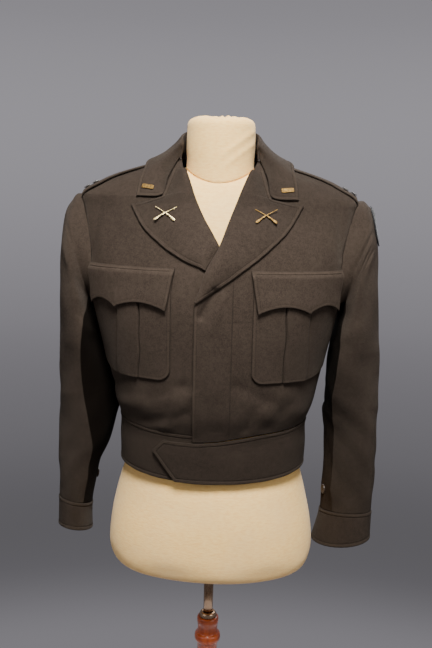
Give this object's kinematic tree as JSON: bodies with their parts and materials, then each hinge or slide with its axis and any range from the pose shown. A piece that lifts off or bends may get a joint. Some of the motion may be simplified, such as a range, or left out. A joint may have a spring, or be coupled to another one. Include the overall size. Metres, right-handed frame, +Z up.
{
  "type": "military uniform jacket on a dress form with a stand",
  "caption": "Waist-length military jacket with lapels, flapped chest pockets and shoulder straps, worn by a limbless dress form on a turned stand.",
  "frame": {"origin": "on the floor, at the centre of the round base's underside", "axes": "+Z up, the jacket's front faces -Y, +X is the wearer's left"},
  "size_m": [0.5675, 0.38, 1.519],
  "materials": {
    "wool": "dark olive-brown wool serge, matte with a fine diagonal weave and a soft nap",
    "black_cloth": "plain black felt, matte",
    "brass": "stamped brass, satin, slightly tarnished",
    "dark_silver": "dull dark silver plate",
    "button_brown": "dark brown pressed plastic, half gloss",
    "knit": "cream stretch knit cover, matte",
    "steel": "bright drawn steel",
    "wood": "turned hardwood, red-brown stain, gloss varnish"
  },
  "bodies": {
    "root": {"back": "wool", "front_left": "wool", "front_right": "wool", "fly_strip": "wool", "waistband_left": "wool", "waistband_right": "wool", "lapel_left": "wool", "lapel_right": "wool", "collar": "wool", "pocket_left": "wool", "pocket_right": "wool", "flap_left": "wool", "flap_right": "wool", "shoulder_strap_left": "wool", "shoulder_strap_right": "wool", "top_sleeve_left": "wool", "top_sleeve_right": "wool", "under_sleeve_left": "wool", "under_sleeve_right": "wool", "cuff_left": "wool", "cuff_right": "wool", "shoulder_patch": "black_cloth", "collar_bar_left": "brass", "collar_bar_right": "brass", "crossed_guns_left": "brass", "crossed_guns_right": "brass", "rank_bar_left_1": "dark_silver", "rank_bar_left_2": "dark_silver", "rank_bar_right_1": "dark_silver", "rank_bar_right_2": "dark_silver", "cuff_button_left": "button_brown", "cuff_button_right": "button_brown", "form_body": "knit", "form_neck": "knit", "rod": "steel", "rod_cup": "steel", "pole": "wood", "base": "wood"}
  },
  "joints": []
}
